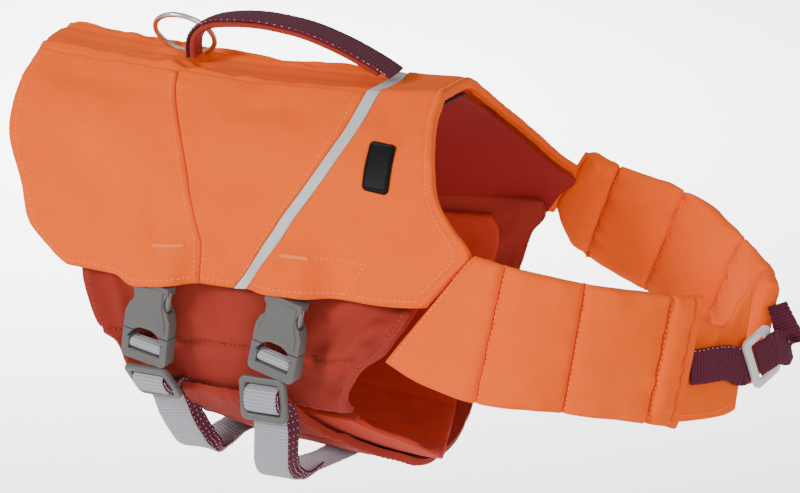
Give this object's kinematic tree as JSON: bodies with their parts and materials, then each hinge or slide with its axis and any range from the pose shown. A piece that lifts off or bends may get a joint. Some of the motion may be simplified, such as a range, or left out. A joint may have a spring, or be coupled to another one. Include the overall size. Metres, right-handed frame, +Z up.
{
  "type": "dog life jacket",
  "caption": "Padded life jacket for a dog, filled out with no wearer: saddle back with a grab handle, quilted neck arms, belly panel and side-release buckles on the right.",
  "frame": {"origin": "inner face of the jacket on the middle of the back, under the middle of the grab handle", "axes": "+X to the dog's head, +Y to the dog's left, +Z up"},
  "size_m": [0.5174, 0.2485, 0.2859],
  "materials": {
    "orange_shell": "plain woven shell cloth",
    "rust_shell": "plain woven shell cloth",
    "red_lining": "fine woven lining",
    "reflective_tape": "glass bead tape",
    "burgundy_webbing": "ribbed webbing",
    "grey_webbing": "ribbed webbing",
    "grey_plastic": "moulded, fine grain",
    "steel_wire": "tumbled",
    "cast_alloy": "satin",
    "black_label": "matt"
  },
  "bodies": {
    "jacket": {"rear_panel_right": "orange_shell", "mid_panel_right": "orange_shell", "rear_panel_left": "orange_shell", "mid_panel_left": "orange_shell", "spine_band": "orange_shell", "front_yoke": "orange_shell", "reflective_stripe": "reflective_tape", "body_lining": "red_lining", "shoulder_label": "black_label", "flank_right": "rust_shell", "flank_left": "rust_shell", "belly_panel": "rust_shell", "belly_pad": "red_lining", "neck_arm_right": "orange_shell", "neck_arm_left": "orange_shell", "front_flap": "orange_shell", "handle_webbing": "burgundy_webbing", "handle_pad": "rust_shell", "buckle_female_rear": "grey_plastic", "buckle_male_rear": "grey_plastic", "bar_wrap_rear": "grey_webbing", "slider_rear": "grey_plastic", "buckle_female_front": "grey_plastic", "buckle_male_front": "grey_plastic", "bar_wrap_front": "grey_webbing", "slider_front": "grey_plastic", "belly_strap_rear": "grey_webbing", "strap_backing_rear": "burgundy_webbing", "belly_strap_front": "grey_webbing", "strap_backing_front": "burgundy_webbing", "collar_webbing": "burgundy_webbing", "collar_hook": "cast_alloy", "collar_return": "burgundy_webbing", "neck_loop": "burgundy_webbing"},
    "ring": {"lead_ring": "steel_wire"}
  },
  "joints": [
    {"name": "ring_swing", "type": "hinge", "parent": "jacket", "child": "ring", "pos_m": [-0.066, 0, 0.016], "axis": [0, 1, 0], "range_deg": [0, 50]}
  ]
}
